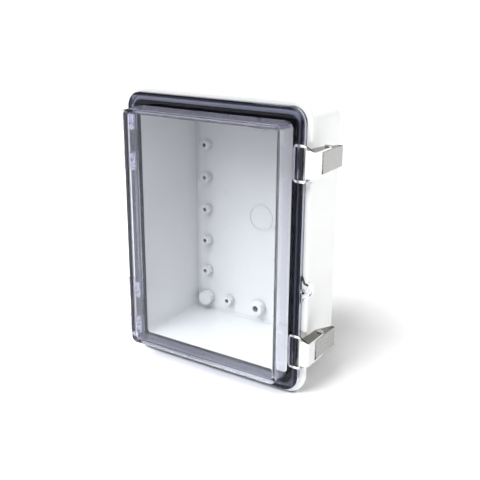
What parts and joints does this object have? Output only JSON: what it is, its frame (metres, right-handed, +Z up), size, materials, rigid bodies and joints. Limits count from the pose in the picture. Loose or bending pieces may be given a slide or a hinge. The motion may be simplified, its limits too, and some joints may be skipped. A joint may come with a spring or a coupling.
{
  "type": "hinged polycarbonate enclosure",
  "caption": "Wall-mounted moulded enclosure with a clear hinged cover on a gasket, held shut by stainless over-centre latches, with a seal ear and screw bosses inside.",
  "frame": {"origin": "the centre of the box's flat rear face, which goes against the wall", "axes": "+X to the right as seen from in front, towards the latches; +Y backwards into the wall; +Z up. The cover faces -Y and its hinges are on the -X side."},
  "size_m": [0.1572, 0.085, 0.2],
  "materials": {
    "housing": "moulded polycarbonate, fine satin, light grey white",
    "clear_cover": "clear polycarbonate, polished, violet grey where it is thick",
    "seal": "soft dark foam rubber",
    "latch_steel": "stamped stainless steel, bright",
    "pin_steel": "drawn stainless wire",
    "insert_brass": "turned brass"
  },
  "bodies": {
    "box": {"body": "housing", "foot_inserts": "insert_brass", "upper_hinge_pin": "pin_steel", "lower_hinge_pin": "pin_steel"},
    "door": {"cover": "clear_cover", "gasket": "seal"},
    "upper_latch": {"upper_lever": "latch_steel", "upper_lever_pin": "pin_steel", "upper_bail_pin": "pin_steel"},
    "upper_hook": {"upper_bail": "latch_steel"},
    "lower_latch": {"lower_lever": "latch_steel", "lower_lever_pin": "pin_steel", "lower_bail_pin": "pin_steel"},
    "lower_hook": {"lower_bail": "latch_steel"}
  },
  "joints": [
    {"name": "door_hinge", "type": "hinge", "parent": "box", "child": "door", "pos_m": [-0.074, -0.068, 0], "axis": [0, 0, -1], "range_deg": [0, 180]},
    {"name": "upper_latch_lever", "type": "hinge", "parent": "box", "child": "upper_latch", "pos_m": [0.0736, -0.058, 0.0622], "axis": [0, 0, -1], "range_deg": [0, 115]},
    {"name": "upper_hook_swing", "type": "hinge", "parent": "upper_latch", "child": "upper_hook", "pos_m": [0.077, -0.05, 0.0622], "axis": [0, 0, 1], "range_deg": [0, 155]},
    {"name": "lower_latch_lever", "type": "hinge", "parent": "box", "child": "lower_latch", "pos_m": [0.0736, -0.058, -0.0654], "axis": [0, 0, -1], "range_deg": [0, 115]},
    {"name": "lower_hook_swing", "type": "hinge", "parent": "lower_latch", "child": "lower_hook", "pos_m": [0.077, -0.05, -0.0654], "axis": [0, 0, 1], "range_deg": [0, 155]}
  ],
  "couplings": [
    {"joint": "upper_hook_swing", "follows": "upper_latch_lever", "ratio": 1.3},
    {"joint": "lower_hook_swing", "follows": "lower_latch_lever", "ratio": 1.3}
  ]
}
